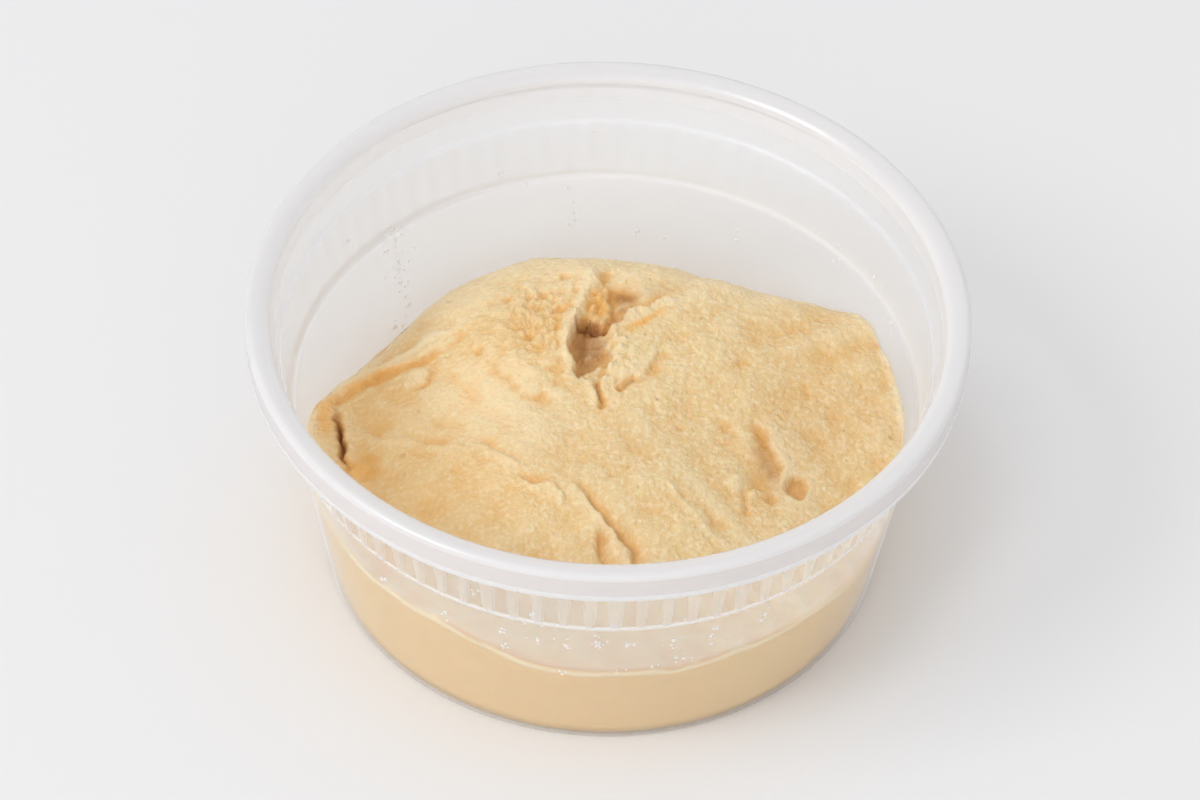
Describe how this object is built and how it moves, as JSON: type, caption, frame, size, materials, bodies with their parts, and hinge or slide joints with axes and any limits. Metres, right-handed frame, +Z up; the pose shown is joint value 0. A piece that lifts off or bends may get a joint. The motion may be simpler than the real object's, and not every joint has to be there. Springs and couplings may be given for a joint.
{
  "type": "hummus in a deli tub",
  "caption": "Hummus heaped in an open, round, translucent plastic deli tub with a rolled rim and a ribbed stacking band.",
  "frame": {"origin": "middle of the tub's foot ring, on the surface the tub stands on", "axes": "+Z up along the tub's axis; -Y is the side shown to the viewer, and the heap of hummus is highest towards +Y"},
  "size_m": [0.117, 0.117, 0.0522],
  "materials": {
    "tub_plastic": "translucent moulded polypropylene, smooth and slightly milky",
    "hummus": "thick, slightly grainy chickpea and sesame paste, moist and satin"
  },
  "bodies": {
    "root": {"container": "tub_plastic", "hummus": "hummus"}
  },
  "joints": []
}
